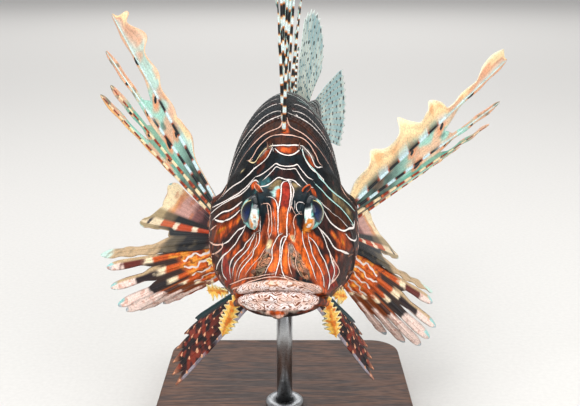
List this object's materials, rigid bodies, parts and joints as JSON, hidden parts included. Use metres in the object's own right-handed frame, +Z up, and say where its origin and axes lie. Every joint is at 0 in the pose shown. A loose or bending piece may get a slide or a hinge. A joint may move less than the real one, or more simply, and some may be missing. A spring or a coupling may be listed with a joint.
{
  "type": "red lionfish model on a display stand",
  "caption": "Life-size red lionfish facing the viewer, nose slightly down, fins spread, on a single-rod display stand.",
  "frame": {"origin": "middle of the underside of the stand's base", "axes": "-Y is the way the fish faces, +X is the fish's left side, +Z is up"},
  "size_m": [0.2412, 0.3184, 0.2788],
  "materials": {
    "skin_head": "painted resin skin, orange red with fine pale lines, satin",
    "skin_body": "painted resin skin, dark brown with fine pale lines, satin",
    "fins": "thin tinted resin, banded rays, satin",
    "tentacles": "soft yellow cream resin, satin",
    "eyes": "clear-coated, dark pupil and pale rim, glossy",
    "base_wood": "dark stained, satin",
    "rod_steel": "brushed"
  },
  "bodies": {
    "root": {"anal_fin": "fins", "brow_flap_left": "tentacles", "brow_flap_right": "tentacles", "cheek_flap_left": "tentacles", "cheek_flap_right": "tentacles", "chin_flap_left": "tentacles", "chin_flap_right": "tentacles", "dorsal_spines": "fins", "eye_left": "eyes", "eye_right": "eyes", "gill_cover_left": "skin_head", "gill_cover_right": "skin_head", "gill_flap_left": "tentacles", "gill_flap_right": "tentacles", "head": "skin_head", "lower_jaw": "skin_head", "pectoral_fin_left_lower": "fins", "pectoral_fin_left_middle": "fins", "pectoral_fin_left_upper": "fins", "pectoral_fin_right_lower": "fins", "pectoral_fin_right_middle": "fins", "pectoral_fin_right_upper": "fins", "pelvic_fin_left": "fins", "pelvic_fin_right": "fins", "rear_body": "skin_body", "soft_dorsal_fin": "fins", "stand_base": "base_wood", "stand_collar": "rod_steel", "stand_rod": "rod_steel", "tail_fin": "fins", "tail_stalk": "skin_body", "trunk": "skin_body"}
  },
  "joints": []
}
